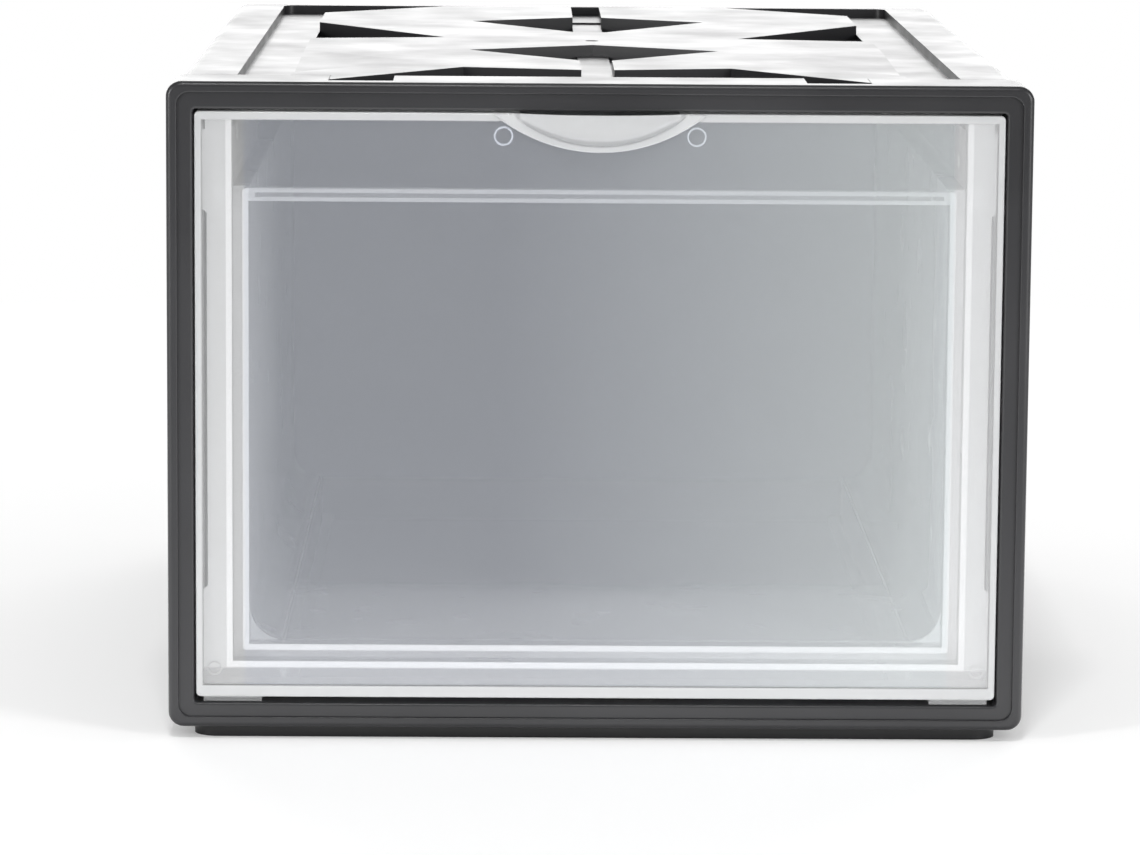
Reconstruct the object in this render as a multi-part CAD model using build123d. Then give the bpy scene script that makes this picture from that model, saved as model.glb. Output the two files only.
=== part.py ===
from build123d import *
import os

# Stackable drawer box: a charcoal casing of clipped panels with a front frame,
# and a frosted drawer that slides out of it towards -Y.
# Millimetres. +Z up, X to the right, the front faces -Y.
# The origin is the centre of the footprint, on the surface that the feet stand on.
# A length that starts with "at_" is a distance behind the front frame's face.

# ---- casing, overall ----
width = 280.0                 # front frame, side to side
frame_height = 211.8          # front frame, bottom to top
depth = 380.0                 # front frame's face to the rear panel's face
foot_height = 4.0             # the front frame clears the ground by this much
body_step = 3.0               # the panels lie this far inside the frame's outline
panel_wall = 2.2              # side, rear and base panels
top_wall = 1.8                # top panel
seat_gap = 0.2                # between pieces that are clipped together
run_gap = 0.3                 # between the drawer and what carries it

# ---- front frame ----
frame_side = 8.5              # face width beside the opening
frame_top_band = 8.9          # face width above the opening
frame_sill = 8.0              # face width below the opening
frame_depth = 28.0            # collar, front to back
frame_corner = 5.0            # outer corner radius
channel_corner = 0.5          # corner radius of the slot that the panels enter
frame_round = 1.8             # rounding of the outer front edge
frame_web = 2.5               # thickness of the front wall
frame_lining = 1.6            # inner wall, round the opening
frame_shell = 2.7             # outer wall of the collar
outer_band = 3.5              # raised band round the face
band_step = 1.0               # the inner band lies this much deeper
band_round = 0.5              # rounding of the raised band's inner edge
lip_width = 0.9               # rounding round the opening
opening_corner = 1.2          # corner radius of the opening
ledge_width = 2.9             # shelf that the drawer's front closes against
ledge_wall = 2.2
notch_inner_share = 0.663     # notches in the top of the collar, across the raised field
notch_outer_share = 0.871
notch_front = 7.5

# ---- top panel ----
skirt_height = 12.0           # the top panel's edge reaches this far down
body_round = 4.0              # rounding of the casing's long upper edges
rear_corner = 5.0             # upright rear corners of the top panel
border_side = 18.6            # flat border beside the stacking recess
border_rear = 8.0             # and behind it
recess_depth = 3.3
recess_corner = 4.5
side_channel = 17.4           # channels along the sides of the recess
pocket_depth = 5.3
spine_half_width = 5.5        # low rib along the middle
spine_depth = 4.0
# bracing in the raised field: places across are shares of the field's half width
at_front_pocket_inner = 57.3  # front pockets, beside the middle rib
front_pocket_share = 0.444    # and their rear corners
at_front_pocket = 66.9
front_pocket_slope = 1.29     # their outer edges, back over across
centre_pocket_share = 0.431   # pocket in front of the hub
at_centre_pocket = 144.0
at_centre_pocket_front = 98.5
at_hub_front = 170.0
at_hub_rear = 233.0           # pockets behind the hub
rear_pocket_share = 0.432
at_rear_pocket = 289.0
at_rear_pocket_rear = 312.0
side_pocket_share = 0.525     # pockets at the two sides
at_side_pocket = 204.0
at_side_pocket_front = 195.0
at_side_pocket_rear = 277.0
rear_brace_share = 0.55       # the bracing meets the rear border inside this
at_rear_brace = 330.7
facet_share = 0.593           # shallow sloping facets near the front corners
at_facet = 90.9
at_facet_front = 40.0
at_facet_rear = 139.0
facet_drop = 2.0
gate_radius = 2.4             # moulding gate marks
gate_sink = 0.5
at_top_gate = 190.0
stop_inset = 3.6              # stop ribs under the top panel, inside the tub's sides
stop_width = 32.0
at_stop = 47.5
stop_wall = 2.5
stop_height = 4.0
stop_overlap = 2.5            # the drawer's ears reach this far up past the ribs
tongue_front = 8.0            # the panels reach this far forward into the frame

# ---- side panels ----
side_drop = 1.5               # the side and rear panels reach below the base panel
clip_reach = 12.0             # tongues that lie behind the next panel's edge
rail_overlap = 3.3            # rail over the drawer's rim
rail_wall = 2.2
guide_gap = 0.8               # upright guide beside the drawer's rim
guide_height = 9.0
edge_round = 1.5              # rounding of the side panels' outer edges

# ---- base panel ----
foot_inset = 5.0              # foot ring, inside the side panels
at_foot_front = 5.0
foot_rear_margin = 4.0
foot_wall = 9.0
foot_corner = 8.0
track_margin = 3.2            # tracks that carry the drawer's skids

# ---- drawer ----
drawer_side_gap = 0.6         # between the drawer's front and the opening
drawer_top_gap = 0.8
drawer_bottom_gap = 1.9
drawer_inset = 1.5            # the drawer's face lies behind the frame's face
drawer_wall = 2.2             # front plate
drawer_corner = 1.6
hollow_corner = 0.4           # inner corners of its return wall
rim_side = 2.2                # return wall round the front plate
rim_top = 2.6
rim_bottom = 3.8
rim_depth = 12.0              # behind the plate
pad_inset = 2.4               # pads under the front plate
pad_width = 19.0
plate_round = 0.7             # rounding of the front plate's edge
ring_radius = 2.5             # ejector rings in the flange's lower corners
ring_width = 0.7
ring_sink = 0.3
ring_inset = 5.9              # inside the drawer front's sides
ring_rise = 9.3               # above the drawer front's lower edge
pin_radius = 3.05             # raised ejector marks behind the front plate
pin_x = 31.2
pin_drop = 7.5                # below the drawer front's upper edge
pin_height = 0.4
pull_width = 59.0             # half-moon pull
pull_drop = 11.0
pull_reach = 8.5              # in front of the drawer's face
pull_wall = 1.8
pull_rim_width = 70.0         # flat half-moon rim that the pull stands on
pull_rim_drop = 12.7
pull_rim_height = 0.9
pull_rim_bevel = 0.5
tub_inset = 15.3              # the bin's sides, inside those of the drawer's front
tub_wall = 2.0
tub_bottom = 25.1             # above the frame's lower edge
tub_top = 177.0
tub_rear_room = 25.8          # between the bin and the rear panel
tub_corner = 13.0             # rounding along the tub's lower edges
tub_rear_corner = 3.0         # and round its rear
flange_wall = 2.0             # flange round the tub's front end
bracket_gap = 3.4             # between the bin and the U-shaped rib behind the flange
bracket_wall = 2.0
bracket_bottom = 19.4         # above the frame's lower edge
bracket_depth = 10.0
web_wall = 2.0                # joins the rib to the bin
slot_width = 1.4              # long slots in the outer edges of the flange
slot_bottom = 46.6            # above the frame's lower edge
slot_top = 169.0
slot_slant = 1.4              # the slots' ends slope
nick_height = 3.2             # nicks in the flange's upper corners
nick_width = 0.9
crossbar_height = 4.1         # crossbar over the bin's open front
crossbar_depth = 5.0
crossbar_groove = 3.0
crossbar_wall = 1.3
rim_reach = 9.2               # outward rim along the tub's upper edges
rim_flange_wall = 2.5
rim_lip = 4.0
ring_corner = 1.2             # corners of the square ring at the bin's front
collar_drop = 4.5             # the bin's upper walls end this far below the stop ribs
skid_inset = 13.0             # skids under the tub
skid_wall = 1.5
skid_rear_gap = 2.0

# ---- places worked out from the sizes above ----
front_y = -(depth + drawer_inset - pull_reach) / 2
frame_bottom = foot_height
top_z = frame_bottom + frame_height
body_half = width / 2 - body_step
body_inner = body_half - panel_wall
opening_half = width / 2 - frame_side
opening_bottom = frame_bottom + frame_sill
opening_top = top_z - frame_top_band
shell_half = width / 2 - frame_shell
lining_half = opening_half + frame_lining
pocket_floor = top_z - pocket_depth
top_underside = pocket_floor - top_wall
stop_bottom = top_underside - stop_height
skirt_bottom = top_z - skirt_height
base_bottom = frame_bottom + frame_shell + run_gap
base_top = base_bottom + panel_wall
body_bottom = base_bottom - side_drop
at_body = frame_depth + seat_gap
at_rear_inner = depth - panel_wall
at_recess_rear = depth - border_rear
recess_half_width = body_half - border_side
field_half_width = recess_half_width - side_channel
front_pocket_x = front_pocket_share * field_half_width
front_pocket_outer_x = front_pocket_x + (at_front_pocket - at_body) / front_pocket_slope
notch_outer_x = notch_outer_share * field_half_width
foot_half_width = body_half - foot_inset
drawer_half = opening_half - drawer_side_gap
drawer_bottom = opening_bottom + drawer_bottom_gap
drawer_top = opening_top - drawer_top_gap
skid_bottom = opening_bottom + run_gap
at_plate_rear = drawer_inset + drawer_wall
at_rim_rear = at_plate_rear + rim_depth
at_ledge = at_rim_rear + run_gap
tub_floor = frame_bottom + tub_bottom
tub_rim = frame_bottom + tub_top
at_tub_rear = at_rear_inner - tub_rear_room
at_tub_front = at_plate_rear + seat_gap
at_rib_rear = at_tub_front + bracket_depth
flange_half = drawer_half - rim_side - seat_gap
flange_bottom = drawer_bottom + rim_bottom + seat_gap
flange_top = drawer_top - rim_top - seat_gap
tub_half_width = drawer_half - tub_inset
bracket_x = tub_half_width + bracket_gap
rim_flange_x = tub_half_width + rim_reach
skid_x = tub_half_width - skid_inset
stop_outer_x = tub_half_width - stop_inset
stop_inner_x = stop_outer_x - stop_width
at_tub_wall = at_tub_rear - tub_wall
collar_top = stop_bottom - collar_drop
drawer_travel = at_tub_wall - (at_stop + stop_wall) - run_gap


def block(x0, x1, at0, at1, z0, z1):
    """Box between two corners; at0 and at1 are distances behind the frame's face."""
    centre = Pos((x0 + x1) / 2, front_y + (at0 + at1) / 2, (z0 + z1) / 2)
    return centre * Box(abs(x1 - x0), abs(at1 - at0), abs(z1 - z0))


def upright(half, z0, z1, at0, at1, radius):
    """Rounded rectangle seen from the front, extruded backwards."""
    face = Plane(origin=(0, front_y + at0, (z0 + z1) / 2), x_dir=(1, 0, 0), z_dir=(0, -1, 0))
    outline = RectangleRounded(2 * half, z1 - z0, radius) if radius > 0 else Rectangle(2 * half, z1 - z0)
    return extrude(face * outline, amount=-(at1 - at0))


def straight(half, z0, z1, at0, at1):
    return block(-half, half, at0, at1, z0, z1)


def flat(points, z0, z1):
    """Plan outline of (x, at) points between two heights."""
    outline = make_face(Polyline(*[(x, front_y + at) for x, at in points], close=True))
    return extrude(Pos(0, 0, z0) * outline, amount=z1 - z0)


def both_sides(shape):
    """A piece of detail at +X with its mirror image at -X."""
    return shape + mirror(shape, Plane.YZ)


def mirrored(shape):
    return mirror(shape, Plane.YZ)


def edges_at(shape, axis, value):
    """Edges that lie wholly at one value of an axis."""
    def inside(edge):
        box = edge.bounding_box()
        low = getattr(box.min, axis)
        high = getattr(box.max, axis)
        return abs(low - value) < 0.01 and abs(high - value) < 0.01
    return shape.edges().filter_by(inside)


def front_frame():
    outer = upright(width / 2, frame_bottom, top_z, 0, frame_depth, frame_corner)
    outer = fillet(edges_at(outer, "Y", front_y), frame_round)
    opening = upright(opening_half, opening_bottom, opening_top, 0, frame_depth, opening_corner)
    inner_half = width / 2 - outer_band
    band = upright(inner_half, frame_bottom + outer_band, top_z - outer_band, 0, band_step,
                   frame_corner - 1)
    channel = upright(shell_half, frame_bottom + frame_shell, top_z - frame_shell,
                      frame_web, frame_depth, channel_corner)
    lining = upright(lining_half, opening_bottom - frame_lining, opening_top + frame_lining,
                     frame_web, frame_depth, opening_corner + frame_lining)
    frame = outer - band
    step = [edge for edge in edges_at(frame, "Y", front_y)
            if abs(edge.center().X) <= inner_half + 0.01
            and frame_bottom + outer_band - 0.01 <= edge.center().Z <= top_z - outer_band + 0.01]
    frame = fillet(step, band_round)
    frame = frame - (channel - lining) - opening
    lip = [edge for edge in edges_at(frame, "Y", front_y + band_step)
           if abs(edge.center().X) <= opening_half + 0.01
           and opening_bottom - 0.01 <= edge.center().Z <= opening_top + 0.01]
    frame = fillet(lip, lip_width)
    ledge = block(opening_half - ledge_width, opening_half + frame_lining / 2, at_ledge,
                  at_ledge + ledge_wall, opening_bottom + opening_corner,
                  opening_top - opening_corner)
    notch = block(notch_inner_share * field_half_width, notch_outer_x, notch_front, frame_depth,
                  top_z - frame_shell, top_z)
    return frame + both_sides(ledge) - both_sides(notch)


def bracing_outline():
    """Half of the raised bracing, from the hub's front round to its rear, at +X."""
    return [
        (0, at_hub_front),
        (centre_pocket_share * field_half_width, at_centre_pocket),
        (spine_half_width, at_centre_pocket_front),
        (spine_half_width, at_front_pocket_inner),
        (front_pocket_x, at_front_pocket),
        (front_pocket_outer_x, at_body),
        (field_half_width, at_body),
        (field_half_width, at_side_pocket_front),
        (side_pocket_share * field_half_width, at_side_pocket),
        (field_half_width, at_side_pocket_rear),
        (field_half_width, at_rear_brace),
        (rear_brace_share * field_half_width, at_recess_rear),
        (spine_half_width, at_recess_rear),
        (spine_half_width, at_rear_pocket_rear),
        (rear_pocket_share * field_half_width, at_rear_pocket),
        (spine_half_width, at_hub_rear),
    ]


def bracing_face(inset):
    half = bracing_outline()
    whole = half + [(-x, at) for x, at in reversed(half[1:])]
    face = make_face(Polyline(*[(x, front_y + at) for x, at in whole], close=True))
    return offset(face, -inset, kind=Kind.INTERSECTION) if inset else face


def facet_cut():
    """Wedge that is level with the top along its rear edge and drops towards the front."""
    tip = (facet_share * field_half_width, front_y + at_facet, top_z)
    rear = (field_half_width, front_y + at_facet_rear, top_z)
    front = (field_half_width, front_y + at_facet_front, top_z)
    low = (field_half_width, front_y + at_facet_front, top_z - facet_drop)
    corners = [(tip, rear, front), (tip, rear, low), (tip, front, low), (rear, front, low)]
    faces = [Face(Wire.make_polygon(three, close=True)) for three in corners]
    return Solid(Shell(faces))


def top_panel():
    middle = front_y + (at_body + depth) / 2
    length = depth - at_body
    panel = Pos(0, middle, (skirt_bottom + top_z) / 2) * Box(2 * body_half, length, skirt_height)
    corners = [edge for edge in panel.edges().filter_by(Axis.Z) if edge.center().Y > middle]
    panel = fillet(corners, rear_corner)
    rounded = [edge for edge in edges_at(panel, "Z", top_z)
               if edge.bounding_box().max.Y > middle or abs(edge.center().X) > body_half - 0.1]
    rounded = [edge for edge in rounded if abs(edge.center().Y - (front_y + at_body)) > 1]
    panel = fillet(rounded, body_round)

    # the stacking recess, with the bracing left standing in it
    recess = block(-recess_half_width, recess_half_width, at_body - 1, at_recess_rear,
                   top_z - recess_depth, top_z)
    recess_corners = [edge for edge in recess.edges().filter_by(Axis.Z) if edge.center().Y > middle]
    recess = fillet(recess_corners, recess_corner)
    field = block(-field_half_width, field_half_width, at_body - 1, at_recess_rear,
                  pocket_floor, top_z)
    field = field - block(-field_half_width, field_half_width, at_rear_brace, at_recess_rear,
                          pocket_floor, top_z - recess_depth)
    spine = block(-spine_half_width, spine_half_width, at_body, at_recess_rear,
                  pocket_floor, top_z - spine_depth)
    bracing = extrude(Pos(0, 0, pocket_floor) * bracing_face(0), amount=pocket_depth)
    panel = panel - (recess - bracing)
    panel = panel - (field - bracing - spine)
    panel = panel - both_sides(facet_cut())

    # hollow underneath, so that the walls stay thin
    inside = block(-body_inner, body_inner, at_body - 1, at_rear_inner, skirt_bottom, top_underside)
    border = block(recess_half_width + top_wall, body_inner, at_body + top_wall, at_rear_inner,
                   top_underside, top_z - panel_wall)
    channel = block(field_half_width + top_wall, recess_half_width - top_wall, at_body + top_wall,
                    at_recess_rear - top_wall, top_underside, top_z - recess_depth - top_wall)
    under = extrude(Pos(0, 0, top_underside) * bracing_face(top_wall),
                    amount=pocket_depth - facet_drop)
    panel = panel - inside - both_sides(border) - both_sides(channel) - under

    # tongue into the front frame, with a lug in each notch of the collar
    tongue = block(-body_inner + seat_gap, body_inner - seat_gap, tongue_front, at_body + 1,
                   top_underside, pocket_floor)
    lug_x = notch_outer_x - seat_gap
    lug = flat([(front_pocket_outer_x, at_body + 1), (front_pocket_outer_x, at_body),
                (lug_x, at_body - (lug_x - front_pocket_outer_x) * front_pocket_slope),
                (lug_x, at_body + 1)], pocket_floor, top_z)
    stop = block(stop_inner_x, stop_outer_x, at_stop, at_stop + stop_wall,
                 stop_bottom, top_underside + 0.5)
    gate = Pos(0, front_y + at_top_gate, top_z) * Cylinder(gate_radius, 2 * gate_sink)
    return panel + tongue + both_sides(lug) + both_sides(stop) - gate


def right_side_panel():
    wall = block(body_inner, body_half, at_body, depth, body_bottom, skirt_bottom - seat_gap)
    outer = [edge for edge in edges_at(wall, "X", body_half)
             if edge.center().Z < body_bottom + 1 or edge.center().Y > front_y + depth - 1]
    wall = fillet(outer, edge_round)
    front = block(body_inner, body_half, frame_web + seat_gap, at_body + 0.5,
                  base_bottom, skirt_bottom - seat_gap)
    clip_x = body_inner - seat_gap
    tongue = block(clip_x - panel_wall, clip_x, at_body + seat_gap, at_rear_inner - seat_gap,
                   skirt_bottom - clip_reach, top_underside - seat_gap)
    bridge = block(clip_x - panel_wall, body_inner, at_body + seat_gap, at_rear_inner - seat_gap,
                   skirt_bottom - clip_reach, skirt_bottom - seat_gap)
    return wall + front + tongue + bridge + drawer_rail()


def drawer_rail():
    """L-shaped rail: one leg over the drawer's rim, the other beside it."""
    at_front = at_body + 2
    at_end = at_rear_inner - clip_reach - 2
    low = tub_rim + run_gap
    over = block(rim_flange_x - rail_overlap, body_inner, at_front, at_end, low, low + rail_wall)
    guide_x = rim_flange_x + guide_gap
    beside = block(guide_x, guide_x + rail_wall, at_front, at_end, low - guide_height, low + rail_wall)
    return over + beside


def rear_panel():
    half = body_inner - seat_gap
    wall = block(-half, half, at_rear_inner, depth, body_bottom, skirt_bottom - seat_gap)
    clip_at = at_rear_inner - seat_gap
    tongue_half = half - panel_wall - seat_gap
    bridge = block(-tongue_half, tongue_half, clip_at - panel_wall, at_rear_inner,
                   skirt_bottom - clip_reach, skirt_bottom - seat_gap)
    tongue = block(-tongue_half, tongue_half, clip_at - panel_wall, clip_at,
                   skirt_bottom - clip_reach, top_underside - seat_gap)
    corner = block(half - panel_wall, half, at_rear_inner - clip_reach, at_rear_inner,
                   base_top + clip_reach, skirt_bottom - clip_reach - seat_gap)
    gate = Pos(0, front_y + at_rear_inner, (body_bottom + skirt_bottom) / 2)
    gate = gate * Rot(90, 0, 0) * Cylinder(gate_radius, 2 * gate_sink)
    return wall + bridge + tongue + both_sides(corner) + gate


def base_panel():
    half = body_inner - seat_gap
    plate = block(-half, half, frame_web + seat_gap, at_rear_inner - seat_gap, base_bottom, base_top)
    track = block(skid_x - track_margin, skid_x + skid_wall + track_margin, at_body,
                  at_rear_inner - seat_gap - 2, base_top - 0.5, opening_bottom)
    edge = block(half - panel_wall, half, at_body, at_rear_inner - seat_gap,
                 base_top - 0.5, base_top + clip_reach - seat_gap)
    return plate + both_sides(track) + both_sides(edge) + foot_ring()


def foot_ring():
    at_end = depth - foot_rear_margin
    ring = ring_outline(0, at_end) - ring_outline(foot_wall, at_end)
    low = extrude(ring, amount=frame_bottom - seat_gap / 2)
    rear = block(-foot_half_width, foot_half_width, at_body, at_end, 0, base_bottom)
    high = extrude(ring, amount=base_bottom + 0.5) & (rear + Pos(0, 0, 0.5) * rear)
    return low + high


def ring_outline(inset, at_end):
    half = foot_half_width - inset
    length = at_end - at_foot_front - 2 * inset
    middle = front_y + (at_foot_front + at_end) / 2
    return Pos(0, middle, 0) * RectangleRounded(2 * half, length, max(foot_corner - inset, 1.0))


def pull_half_moon(across, drop, reach, top):
    """Lower front quarter of a spindle: an arc swung about its chord and flattened."""
    arc = ThreePointArc((-across / 2, 0), (0, -drop), (across / 2, 0))
    chord = Line((across / 2, 0), (-across / 2, 0))
    profile = Plane.XZ * make_face([arc, chord])
    spindle = revolve(profile, Axis.X, 180)
    spindle = spindle + revolve(profile, Axis.X, -180)
    spindle = scale(spindle, by=(1, reach / drop, 1))
    return Pos(0, front_y + drawer_inset, top) * spindle


def pull_rim():
    """Flat rim that the pull stands on: a disc, up to the rounding of the drawer's upper edge."""
    radius = ((pull_rim_width / 2) ** 2 + pull_rim_drop ** 2) / (2 * pull_rim_drop)
    disc = Cylinder(radius, 2 * pull_rim_height)
    disc = chamfer(disc.edges().group_by(Axis.Z)[-1], pull_rim_bevel)
    disc = Pos(0, front_y + drawer_inset, drawer_top - pull_rim_drop + radius) * Rot(90, 0, 0) * disc
    return disc & block(-radius, radius, drawer_inset - pull_rim_height, drawer_inset + pull_rim_height,
                        drawer_top - pull_rim_drop, drawer_top - plate_round / 2)


def drawer_front():
    plate = upright(drawer_half, drawer_bottom, drawer_top, drawer_inset, at_rim_rear, drawer_corner)
    hollow_bottom = drawer_bottom + rim_bottom
    hollow_top = drawer_top - rim_top
    hollow = upright(drawer_half - rim_side, hollow_bottom, hollow_top,
                     at_plate_rear, at_rim_rear, hollow_corner)
    plate = fillet(edges_at(plate, "Y", front_y + drawer_inset), plate_round)
    front = plate - hollow
    pad_x = drawer_half - pad_inset
    pad = block(pad_x - pad_width, pad_x, drawer_inset + 1, at_rim_rear, skid_bottom,
                drawer_bottom + 0.5)
    pin = Pos(pin_x, front_y + at_plate_rear, drawer_top - pin_drop)
    pin = pin * Rot(90, 0, 0) * Cylinder(pin_radius, 2 * pin_height)
    front = front + both_sides(pad) + both_sides(pin)

    # the pull: the face bulges forward out of a flat rim, and is open above and behind
    bulge = pull_half_moon(pull_width, pull_drop, pull_reach, drawer_top)
    cup = pull_half_moon(pull_width - 2 * pull_wall, pull_drop - pull_wall,
                         pull_reach - pull_wall, drawer_top)
    half = pull_width / 2
    cup_half = half - 2 * pull_wall
    ahead = block(-half, half, drawer_inset - pull_reach, drawer_inset + drawer_wall / 2,
                  drawer_top - pull_drop, drawer_top)
    within = block(-cup_half, cup_half, drawer_inset - pull_reach, at_rim_rear,
                   drawer_top - pull_drop, drawer_top + 1)
    behind = block(-cup_half, cup_half, drawer_inset, at_rim_rear, hollow_top, drawer_top + 1)
    return front + pull_rim() + (bulge & ahead) - (cup & within) - behind


def tub_flange():
    """Frame round the tub's open front: a flat flange, a U-shaped rib and a web to the bin."""
    rib_bottom = frame_bottom + bracket_bottom
    rib_half = bracket_x + bracket_wall
    window = straight(bracket_x, rib_bottom + bracket_wall, flange_top + 1,
                      at_tub_front - 1, at_rib_rear + 1)
    face = straight(flange_half, flange_bottom, flange_top, at_tub_front,
                    at_tub_front + flange_wall) - window
    rib = straight(rib_half, rib_bottom, flange_top, at_tub_front, at_rib_rear) - window
    web = straight(bracket_x + 1, rib_bottom + 1, tub_rim, at_rib_rear - web_wall, at_rib_rear)
    return face + rib + (web - bin_inside(at_tub_front)) - flange_cuts()


def flange_cuts():
    """Long slots and short nicks in the flange's outer edges, and two ejector rings."""
    low = frame_bottom + slot_bottom
    high = frame_bottom + slot_top
    inner = flange_half - slot_width
    outer = flange_half + 1
    slant = slot_slant * (outer - inner) / slot_width
    outline = make_face(Polyline((inner, low), (outer, low - slant), (outer, high + slant),
                                 (inner, high), close=True))
    plane = Plane(origin=(0, front_y + at_tub_front - 1, 0), x_dir=(1, 0, 0), z_dir=(0, -1, 0))
    slot = extrude(plane * outline, amount=-(flange_wall + 2))
    nick = block(flange_half - nick_width, outer, at_tub_front - 1, at_tub_front + flange_wall + 1,
                 flange_top - nick_height, flange_top + 1)
    ring = Cylinder(ring_radius, 2 * ring_sink) - Cylinder(ring_radius - ring_width, 2 * ring_sink)
    centre = Pos(drawer_half - ring_inset, front_y + at_tub_front, drawer_bottom + ring_rise)
    ring = centre * Rot(90, 0, 0) * ring
    return both_sides(slot) + both_sides(nick) + both_sides(ring)


def front_ring():
    """Square ring at the bin's front; its upper bar ties the sides together."""
    low = tub_rim - crossbar_height
    ring = upright(tub_half_width, tub_floor, tub_rim, at_tub_front, at_rib_rear, ring_corner)
    inside = straight(tub_half_width - tub_wall, tub_floor + tub_wall, low, at_tub_front - 1,
                      at_rib_rear + 1)
    above = straight(tub_half_width - tub_wall, low - 1, tub_rim + 1,
                     at_tub_front + crossbar_depth, at_rib_rear + 1)
    groove = straight(tub_half_width - 2 * tub_wall, low + crossbar_wall, tub_rim - crossbar_wall,
                      at_tub_front - 1, at_tub_front + crossbar_groove)
    return ring - inside - above - groove


def bin_inside(at_front):
    """What the bin holds: straight walls with rounded lower edges."""
    inside = upright(tub_half_width - tub_wall, tub_floor + tub_wall, tub_rim + tub_corner,
                     at_front - 1, at_tub_wall, tub_corner - tub_wall)
    return fillet(edges_at(inside, "Y", front_y + at_tub_wall), tub_rear_corner - tub_wall)


def tub_collar():
    """Upper walls at the sides and the rear, a little wider than the bin below them."""
    low = tub_rim - rim_flange_wall
    outside = straight(bracket_x + tub_wall, low, collar_top, at_rib_rear, at_tub_rear)
    return outside - straight(bracket_x, low - 1, collar_top + 1, at_rib_rear - 1, at_tub_wall)


def drawer_tub():
    at_bin = at_rib_rear - web_wall
    body = upright(tub_half_width, tub_floor, tub_rim + tub_corner, at_bin, at_tub_rear, tub_corner)
    body = fillet(edges_at(body, "Y", front_y + at_tub_rear), tub_rear_corner)
    body = body & straight(width, 0, tub_rim, at_bin, at_tub_rear)
    rim = block(tub_half_width - tub_wall, rim_flange_x, at_rib_rear, at_tub_rear,
                tub_rim - rim_flange_wall, tub_rim)
    lip = block(rim_flange_x - tub_wall, rim_flange_x, at_rib_rear, at_tub_rear,
                tub_rim - rim_flange_wall - rim_lip, tub_rim)
    ear = block(stop_inner_x, stop_outer_x, at_tub_wall, at_tub_rear,
                tub_rim - tub_corner, stop_bottom + stop_overlap)
    skid = block(skid_x, skid_x + skid_wall, at_rim_rear + seat_gap, at_tub_rear - skid_rear_gap,
                 skid_bottom, tub_floor + tub_wall / 2)
    tub = body + both_sides(rim) + both_sides(lip) + both_sides(skid) + tub_collar()
    tub = tub - bin_inside(at_bin)
    return tub + both_sides(ear) + tub_flange() + front_ring()


pieces = {
    "front_frame": front_frame(),
    "top_panel": top_panel(),
    "base_panel": base_panel(),
    "right_side_panel": right_side_panel(),
    "left_side_panel": mirrored(right_side_panel()),
    "rear_panel": rear_panel(),
    "drawer_front": drawer_front(),
    "drawer_tub": drawer_tub(),
}

os.makedirs("parts", exist_ok=True)
for name, shape in pieces.items():
    export_step(shape, f"parts/{name}.step")
print("travel of the drawer", round(drawer_travel, 2))
print("face of the front frame at y", round(front_y, 3))
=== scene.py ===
import bpy
import math
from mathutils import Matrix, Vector

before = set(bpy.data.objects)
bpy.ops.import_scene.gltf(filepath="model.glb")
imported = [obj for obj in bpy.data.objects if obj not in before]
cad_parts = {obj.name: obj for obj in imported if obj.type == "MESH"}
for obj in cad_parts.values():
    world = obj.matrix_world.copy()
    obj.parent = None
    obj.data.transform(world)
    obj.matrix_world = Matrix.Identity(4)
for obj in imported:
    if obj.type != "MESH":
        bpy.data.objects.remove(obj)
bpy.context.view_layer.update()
print("frame loaded:", sorted(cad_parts))


# a value goes to the socket of its name, or else to the node itself
def addNode(owner, kind, **values):
    node = owner.node_tree.nodes.new(kind)
    for key, value in values.items():
        if key in node.inputs:
            node.inputs[key].default_value = value
        else:
            setattr(node, key, value)
    return node


def link(owner, start, end):
    owner.node_tree.links.new(start, end)


def newMaterial(name):
    material = bpy.data.materials.new(name)
    material.use_nodes = True
    material.node_tree.nodes.clear()
    shader = addNode(material, "ShaderNodeBsdfPrincipled")
    output = addNode(material, "ShaderNodeOutputMaterial")
    link(material, shader.outputs["BSDF"], output.inputs["Surface"])
    return material, shader, output


def objectPlace(material):
    return addNode(material, "ShaderNodeTexCoord").outputs["Object"]


def addNoise(material, place, size, detail):
    noise = addNode(material, "ShaderNodeTexNoise", Scale=1.0 / size, Detail=detail)
    link(material, place, noise.inputs["Vector"])
    return noise.outputs["Fac"]


def addBump(material, shader, height, depth):
    bump = addNode(material, "ShaderNodeBump", Distance=depth)
    link(material, height, bump.inputs["Height"])
    link(material, bump.outputs["Normal"], shader.inputs["Normal"])


def mixColours(material, share, first, second):
    mix = addNode(material, "ShaderNodeMix", data_type="RGBA")
    for socket, value in ((mix.inputs[6], first), (mix.inputs[7], second)):
        if isinstance(value, tuple):
            socket.default_value = value
        else:
            link(material, value, socket)
    link(material, share, mix.inputs[0])
    return mix.outputs[2]


def mixShaders(owner, share, first, second):
    mix = addNode(owner, "ShaderNodeMixShader")
    for socket, start in zip(mix.inputs, (share, first.outputs[0], second.outputs[0])):
        link(owner, start, socket)
    return mix


def addShaders(owner, first, second):
    total = addNode(owner, "ShaderNodeAddShader")
    link(owner, first.outputs[0], total.inputs[0])
    link(owner, second.outputs[0], total.inputs[1])
    return total


def mathNode(owner, operation, first, second=None, clamp=False):
    node = addNode(owner, "ShaderNodeMath", operation=operation, use_clamp=clamp)
    for socket, value in zip(node.inputs, (first, second)):
        if value is None:
            continue
        if isinstance(value, (int, float)):
            socket.default_value = value
        else:
            link(owner, value, socket)
    return node.outputs[0]


def ramp(material, source, low, high, toLow, toHigh):
    mapping = addNode(material, "ShaderNodeMapRange")
    mapping.inputs["From Min"].default_value = low
    mapping.inputs["From Max"].default_value = high
    mapping.inputs["To Min"].default_value = toLow
    mapping.inputs["To Max"].default_value = toHigh
    link(material, source, mapping.inputs["Value"])
    return mapping.outputs["Result"]


# masks run from 0 to 1, and turn from one to the other over this many metres each way
edgeBlur = 0.00035


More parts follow.
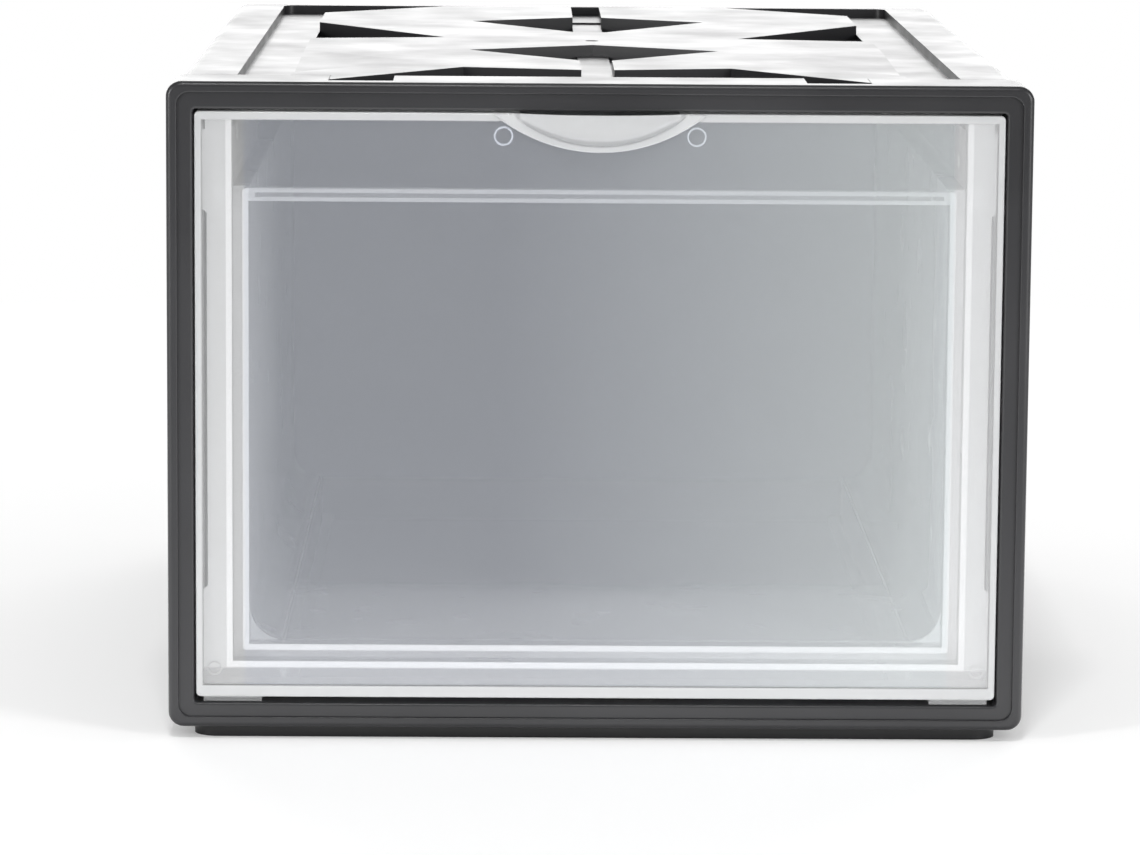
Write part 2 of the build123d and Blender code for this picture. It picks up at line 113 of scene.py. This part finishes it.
def stepUp(material, value, at):
    return ramp(material, value, at - edgeBlur, at + edgeBlur, 0.0, 1.0)


def stepDown(material, value, at):
    return ramp(material, value, at - edgeBlur, at + edgeBlur, 1.0, 0.0)


def both(owner, first, *others):
    for other in others:
        first = mathNode(owner, "MULTIPLY", first, other)
    return first


def either(owner, first, *others):
    for other in others:
        first = mathNode(owner, "MAXIMUM", first, other)
    return first


def between(material, value, low, high):
    return both(material, stepUp(material, value, low), stepDown(material, value, high))


# one plain number where the mask is 0, the other where it is 1
def pick(material, mask, off, on):
    return ramp(material, mask, 0.0, 1.0, off, on)


# the same for what comes out of other nodes
def mixValues(material, mask, off, on):
    rest = mathNode(material, "SUBTRACT", 1.0, mask)
    return mathNode(material, "ADD", both(material, mask, on), both(material, rest, off))


# to the right of the middle, away from it to either side, behind it, and above the floor
def splitPlace(material):
    split = addNode(material, "ShaderNodeSeparateXYZ")
    link(material, objectPlace(material), split.inputs[0])
    toRight, behind, up = split.outputs
    return toRight, mathNode(material, "ABSOLUTE", toRight), behind, up


casingLook = {
    "colour": (0.016, 0.016, 0.0175, 1.0),
    "paleColour": (0.024, 0.024, 0.026, 1.0),
    "cloudSize": 0.12,                    # slow change between the two colours
    "cloudDetail": 3.0,
    "cloudRange": (0.35, 0.65),
    "specular": 0.40,
    "roughness": (0.31, 0.41),
    "wearSize": 0.03,                     # and between the two roughnesses
    "wearDetail": 4.0,
    "wearRange": (0.3, 0.7),
    "grainSize": 0.0011,
    "grainDetail": 2.0,
    "grainHeight": 0.00002,
    "footTop": 0.0039,                    # below this is the foot ring, its colour darkened as painted shade under the frame
    "paintedFootShade": 0.35,
}


def makeCasingPlastic():
    look = casingLook
    material, shader = newMaterial("charcoalPlastic")[:2]
    place = objectPlace(material)
    cloud = addNoise(material, place, look["cloudSize"], look["cloudDetail"])
    colour = mixColours(material, ramp(material, cloud, *look["cloudRange"], 0.0, 1.0),
                        look["colour"], look["paleColour"])
    up = splitPlace(material)[-1]
    # painted shade: the colour is scaled down on the foot ring
    paintedShadeScale = pick(material, stepDown(material, up, look["footTop"]), 1.0, look["paintedFootShade"])
    shade = addNode(material, "ShaderNodeVectorMath", operation="SCALE")
    link(material, colour, shade.inputs[0])
    link(material, paintedShadeScale, shade.inputs["Scale"])
    link(material, shade.outputs[0], shader.inputs["Base Color"])
    shader.inputs["Specular IOR Level"].default_value = look["specular"]
    wear = addNoise(material, place, look["wearSize"], look["wearDetail"])
    link(material, ramp(material, wear, *look["wearRange"], *look["roughness"]),
         shader.inputs["Roughness"])
    grain = addNoise(material, place, look["grainSize"], look["grainDetail"])
    addBump(material, shader, grain, look["grainHeight"])
    return material


# what the front plate and the bin share. Below, a share is how much of the light
# stops at the surface, and the rest goes through
drawerLook = {
    "ior": 1.49,
    "scatterColour": (0.94, 0.96, 0.96, 1.0),
    "scatterForward": 0.2,
    "scatterDensity": 60.0,
    "hazeSize": 0.02,                     # the frosting's roughness changes by hazeSpread
    "hazeDetail": 3.0,
    "hazeRange": (0.3, 0.7),
    "hazeSpread": 0.2,
    "waveSize": 0.035,                    # the walls aren't quite flat
    "waveDetail": 2.0,
    "waveHeight": 0.00003,
    "windowSide": 0.1150,                 # the window is tinted, its edges aren't
    "faceAt": -0.1853,                    # the pull stands in front of this
    "turnsFrom": -0.03,                   # painted light: left of this it has its less lit tint and share, and right of this its lit ones
    "turnsTo": 0.10,                      # and right of this its right ones
}


def makeFrosted(name, look):
    shared = drawerLook
    material, shader, output = newMaterial(name)
    toRight, across, behind, up = splitPlace(material)
    # painted light: 0 on the left, 1 on the right, where the drawer is painted lighter
    litSide = ramp(material, toRight, shared["turnsFrom"], shared["turnsTo"], 0.0, 1.0)
    window = both(material, stepDown(material, across, shared["windowSide"]),
                  between(material, up, *look["windowHeights"]),
                  stepUp(material, behind, shared["faceAt"]))
    tint = mixColours(material, litSide, look["lessLitColour"], look["litColour"])
    link(material, mixColours(material, window, look["colour"], tint),
         shader.inputs["Base Color"])
    shader.inputs["IOR"].default_value = shared["ior"]
    place = objectPlace(material)
    haze = addNoise(material, place, shared["hazeSize"], shared["hazeDetail"])
    smooth = look["roughness"] * (1 - shared["hazeSpread"])
    rough = look["roughness"] * (1 + shared["hazeSpread"])
    link(material, ramp(material, haze, *shared["hazeRange"], smooth, rough),
         shader.inputs["Roughness"])
    wave = addNoise(material, place, shared["waveSize"], shared["waveDetail"])
    addBump(material, shader, wave, shared["waveHeight"])
    milk = addNode(material, "ShaderNodeVolumeScatter", Density=shared["scatterDensity"],
                   Anisotropy=shared["scatterForward"], Color=shared["scatterColour"])
    link(material, milk.outputs[0], output.inputs["Volume"])
    return material, shader, litSide, (across, behind, up)


# the thin outline of an ejector pin or a moulded ring, on both sides of the middle
def addCircle(material, circle, across, up):
    away = [mathNode(material, "POWER", mathNode(material, "SUBTRACT", value, centre), 2.0)
            for value, centre in zip((across, up), circle["place"])]
    radius = mathNode(material, "SQRT", mathNode(material, "ADD", *away))
    off = mathNode(material, "ABSOLUTE",
                   mathNode(material, "SUBTRACT", radius, circle["radius"]))
    return ramp(material, off, 0.0, circle["width"], circle["share"], 0.0)


frontLook = {
    "colour": (0.85, 0.86, 0.87, 1.0),
    "lessLitColour": (0.74, 0.78, 0.87, 1.0),  # over the window, left, painted less lit, and right, painted lit
    "litColour": (0.81, 0.86, 0.88, 1.0),  # and right
    "windowHeights": (0.0178, 0.2034),
    "roughness": 0.16,
    "clearShares": (0.115, 0.20),         # left and right, the right one higher as painted light
    "rimShare": 0.49,                     # where the return wall stands behind the face
    "rimInside": 0.1286,                  # the return wall's inner faces
    "rimTop": 0.2034,
    "rimBottom": 0.0178,
    "padTop": 0.0138,                     # pads under the plate, made clearer so they read darker: painted shade
    "padShadeShare": 0.14,
    "pullEdge": -0.1861,                  # the pull's flat rim lies behind this
    "pullShare": 0.32,
    "pullEdgeShare": 0.52,
    "circle": {"place": (0.0312, 0.1986), "radius": 0.00285, "width": 0.0006, "share": 0.45},
}


def makeFrontPlastic():
    look = frontLook
    material, shader, litSide, place = makeFrosted("frostedFront", look)
    across, behind, up = place
    # painted light: the clear share rises towards the right
    clear = pick(material, litSide, *look["clearShares"])
    rim = either(material, stepUp(material, across, look["rimInside"]),
                 stepUp(material, up, look["rimTop"]), stepDown(material, up, look["rimBottom"]))
    # painted shade: the pads below padTop get a lower share
    rimShare = pick(material, stepUp(material, up, look["padTop"]),
                    look["padShadeShare"], look["rimShare"])
    rim = both(material, rim, stepUp(material, behind, drawerLook["faceAt"]), rimShare)
    pullShare = pick(material, stepUp(material, behind, look["pullEdge"]),
                     look["pullShare"], look["pullEdgeShare"])
    pull = both(material, stepDown(material, behind, drawerLook["faceAt"]), pullShare)
    circle = addCircle(material, look["circle"], across, up)
    link(material, either(material, rim, clear, pull, circle), shader.inputs["Alpha"])
    return material


tubLook = {
    "colour": (0.86, 0.87, 0.88, 1.0),
    # the window's colour, left and right: the right one lighter and greener as painted light
    "lessLitColour": (0.84, 0.86, 0.88, 1.0),
    "litColour": (0.84, 0.88, 0.89, 1.0),
    "windowHeights": (0.0313, 0.2034),
    "roughness": 0.24,
    "clearShare": 0.09,
    "grazingShare": 0.40,                 # what walls seen along their face gain
    "grazingBlend": 0.5,
    "grazingPower": 3.0,
    "flangeAt": -0.1822,                  # the flange's face lies in front of this
    "flangeShare": 0.47,
    "sillShare": 0.26,                    # the flange below the rib
    "barBottom": 0.1768,                  # the bar over the bin's front
    "barShare": 0.33,
    "rib": {"sides": (0.1188, 0.1212), "bottom": (0.0232, 0.0256), "share": 0.70},
    "ring": {"sides": (0.1133, 0.1158), "bottom": (0.0289, 0.0313), "share": 0.56},
    "circle": {"place": (0.1250, 0.0232), "radius": 0.00225, "width": 0.0006, "share": 0.75},
    "webFrom": -0.1749,                   # the web between the rib and the ring
    "webTo": -0.1721,                     # and behind it the bin
    "webShares": (0.46, 0.76),            # left and right, the right one higher as painted light
    "floorTop": 0.0316,
    "floorShares": (0.36, 0.06),          # painted light on the near part, painted shade on the far part
    "floorTurns": (-0.060, -0.051),       # the painted light's edge lies between these, moved by up to floorWave
    "floorWave": 0.034,
    "floorWaveSize": 0.032,
    "floorWaveDetail": 1.0,
    "skidSides": (0.1029, 0.1037),        # the skids show through the floor
    "skidShare": 0.62,
    "wallFrom": 0.112,                    # painted light on the near part of the right wall too
    "wallTo": -0.03,                      # and fades as far back as this
    "wallShare": 0.70,
}


# an outline of two uprights and a lower bar, open at the top
def addOutline(material, line, across, up):
    upright = both(material, between(material, across, *line["sides"]),
                   stepUp(material, up, line["bottom"][0]))
    lower = both(material, between(material, up, *line["bottom"]),
                 stepDown(material, across, line["sides"][1]))
    return both(material, either(material, upright, lower), line["share"])


def makeFlangeShare(material, look, across, behind, up):
    flange = pick(material, stepUp(material, up, look["rib"]["bottom"][0]),
                  look["sillShare"], look["flangeShare"])
    bar = both(material, stepDown(material, across, look["ring"]["sides"][1]),
               stepUp(material, up, look["barBottom"]))
    face = mixValues(material, bar, flange, look["barShare"])
    share = either(material, face, addOutline(material, look["rib"], across, up),
                   addOutline(material, look["ring"], across, up),
                   addCircle(material, look["circle"], across, up))
    return both(material, share, stepDown(material, behind, look["flangeAt"]))


def makeTubPlastic():
    look = tubLook
    material, shader, litSide, place = makeFrosted("frostedTub", look)
    across, behind, up = place
    flange = makeFlangeShare(material, look, across, behind, up)
    web = both(material, between(material, behind, look["webFrom"], look["webTo"]),
               pick(material, litSide, *look["webShares"]))

    weight = addNode(material, "ShaderNodeLayerWeight", Blend=look["grazingBlend"])
    grazing = mathNode(material, "POWER", weight.outputs["Facing"], look["grazingPower"])
    grazing = both(material, grazing, look["grazingShare"])
    clear = mathNode(material, "ADD", grazing, look["clearShare"], clamp=True)

    inBin = stepUp(material, behind, look["webTo"])
    # painted light and shade on the bin's floor, with a wavy edge between them
    low = both(material, stepDown(material, up, look["floorTop"]), inBin)
    wave = addNoise(material, objectPlace(material), look["floorWaveSize"], look["floorWaveDetail"])
    moved = mathNode(material, "ADD", behind, both(material, wave, look["floorWave"]))
    onFloor = ramp(material, moved, *look["floorTurns"], *look["floorShares"])
    clear = mixValues(material, low, clear, onFloor)
    skid = both(material, low, between(material, across, *look["skidSides"]), look["skidShare"])

    # painted light on the right wall, fading towards the back
    fading = ramp(material, behind, look["webTo"], look["wallTo"], 1.0, 0.0)
    wall = both(material, stepUp(material, across, look["wallFrom"]), litSide, inBin, fading,
                look["wallShare"])
    link(material, either(material, flange, web, clear, skid, wall), shader.inputs["Alpha"])
    return material


def dressNodes():
    casing = makeCasingPlastic()
    finishes = {"drawer_front": makeFrontPlastic(), "drawer_tub": makeTubPlastic()}
    for name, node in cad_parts.items():
        node.data.materials.clear()
        node.data.materials.append(finishes.get(name, casing))
    print("nodes dressed")


cameraLook = {
    "lens": 157.945,                      # millimetres
    "sensorWidth": 36.0,
    "place": (-0.028597, -1.793583, 0.346876),
    "turn": (81.40625, -0.43238, -0.63059),  # degrees
    "clip": (0.05, 50.0),
}


def makeCamera():
    data = bpy.data.cameras.new("camera")
    data.lens = cameraLook["lens"]
    data.sensor_width = cameraLook["sensorWidth"]
    data.sensor_fit = "HORIZONTAL"
    data.clip_start, data.clip_end = cameraLook["clip"]
    camera = bpy.data.objects.new("camera", data)
    camera.location = cameraLook["place"]
    camera.rotation_euler = [math.radians(angle) for angle in cameraLook["turn"]]
    bpy.context.scene.collection.objects.link(camera)
    bpy.context.scene.camera = camera
    print("camera set")


lampLook = {                              # metres and watts
    "backSoftbox": {"place": (0.1, 2.2, 0.9), "aim": (0.0, 0.1, 0.2),
                    "size": (3.0, 1.6), "power": 45.0},
    "topKey": {"place": (-0.10, -1.22, 2.00), "aim": (0.0, -0.1, 0.1),
               "size": (0.25, 0.25), "power": 15.0},
    "leftSoftbox": {"place": (-1.46, -1.20, 0.50), "aim": (0.0, -0.1, 0.1),
                    "size": (0.3, 0.6), "power": 15.5},
    "rightSoftbox": {"place": (1.46, -1.30, 0.55), "aim": (0.0, -0.1, 0.1),
                     "size": (0.5, 0.7), "power": 19.0},
}


def makeLamps():
    for name, look in lampLook.items():
        data = bpy.data.lights.new(name, "AREA")
        data.shape = "RECTANGLE"
        data.size, data.size_y = look["size"]
        data.energy = look["power"]
        lamp = bpy.data.objects.new(name, data)
        lamp.location = look["place"]
        direction = Vector(look["aim"]) - lamp.location
        lamp.rotation_euler = direction.to_track_quat("-Z", "Y").to_euler()
        lamp.visible_camera = False
        bpy.context.scene.collection.objects.link(lamp)
    print("lamps set")


skyLook = {
    "colour": (1.0, 1.0, 1.0, 1.0),
    "strength": 0.38,                     # for the light on the object
    "seenStrength": 1.0,                  # for the camera, and through the drawer
}


def makeSky():
    world = bpy.data.worlds.new("sky")
    bpy.context.scene.world = world
    world.use_nodes = True
    world.node_tree.nodes.clear()
    path = addNode(world, "ShaderNodeLightPath")
    seen = either(world, path.outputs["Is Camera Ray"], path.outputs["Is Transmission Ray"])
    lit, white = [addNode(world, "ShaderNodeBackground", Color=skyLook["colour"],
                          Strength=skyLook[key]) for key in ("strength", "seenStrength")]
    output = addNode(world, "ShaderNodeOutputWorld")
    link(world, mixShaders(world, seen, lit, white).outputs[0], output.inputs["Surface"])
    print("sky set")


floorLook = {
    "halfSide": 6.0,
    "colour": (0.86, 0.86, 0.86, 1.0),
    "roughness": 0.9,
    "specular": 0.1,
    "glow": 0.17,                         # what the paper adds where the camera sees it
    "white": 1.0,
    "whiteRange": (0.45, 1.0),            # it turns plain white between these distances
    "lift": 1.5,                          # what it adds to the light on the object
    "liftRange": (0.26, 0.75),            # up close, and nothing beyond
    "shadeHalfWidth": 0.138,              # nor beside the foot
    "shadeHalfDepth": 0.188,
    "shadeReach": 0.022,
}


def makeFloor():
    look = floorLook
    half = look["halfSide"]
    mesh = bpy.data.meshes.new("floor")
    corners = [(-half, -half, 0.0), (half, -half, 0.0), (half, half, 0.0), (-half, half, 0.0)]
    mesh.from_pydata(corners, [], [(0, 1, 2, 3)])
    floor = bpy.data.objects.new("floor", mesh)
    bpy.context.scene.collection.objects.link(floor)

    material, shader, output = newMaterial("floorPaper")
    shader.inputs["Base Color"].default_value = look["colour"]
    shader.inputs["Roughness"].default_value = look["roughness"]
    shader.inputs["Specular IOR Level"].default_value = look["specular"]
    length = addNode(material, "ShaderNodeVectorMath", operation="LENGTH")
    link(material, objectPlace(material), length.inputs[0])
    distance = length.outputs["Value"]

    glow = addNode(material, "ShaderNodeEmission", Strength=look["glow"])
    white = addNode(material, "ShaderNodeEmission", Strength=look["white"])
    far = ramp(material, distance, *look["whiteRange"], 0.0, 1.0)
    seen = mixShaders(material, far, addShaders(material, shader, glow), white)

    across, behind = splitPlace(material)[1:3]
    fromMiddle = mathNode(material, "ABSOLUTE", behind)
    beside = either(material, mathNode(material, "SUBTRACT", across, look["shadeHalfWidth"]),
                    mathNode(material, "SUBTRACT", fromMiddle, look["shadeHalfDepth"]))
    unshaded = ramp(material, beside, 0.0, look["shadeReach"], 0.0, 1.0)
    lift = addNode(material, "ShaderNodeEmission")
    near = ramp(material, distance, *look["liftRange"], look["lift"], 0.0)
    link(material, both(material, near, unshaded), lift.inputs["Strength"])
    bounce = addShaders(material, shader, lift)

    path = addNode(material, "ShaderNodeLightPath")
    paper = mixShaders(material, path.outputs["Is Camera Ray"], bounce, seen)
    link(material, paper.outputs[0], output.inputs["Surface"])
    mesh.materials.append(material)
    print("floor set")


makeCamera()
makeLamps()
makeSky()
makeFloor()
dressNodes()
bpy.context.scene.view_settings.view_transform = "Standard"
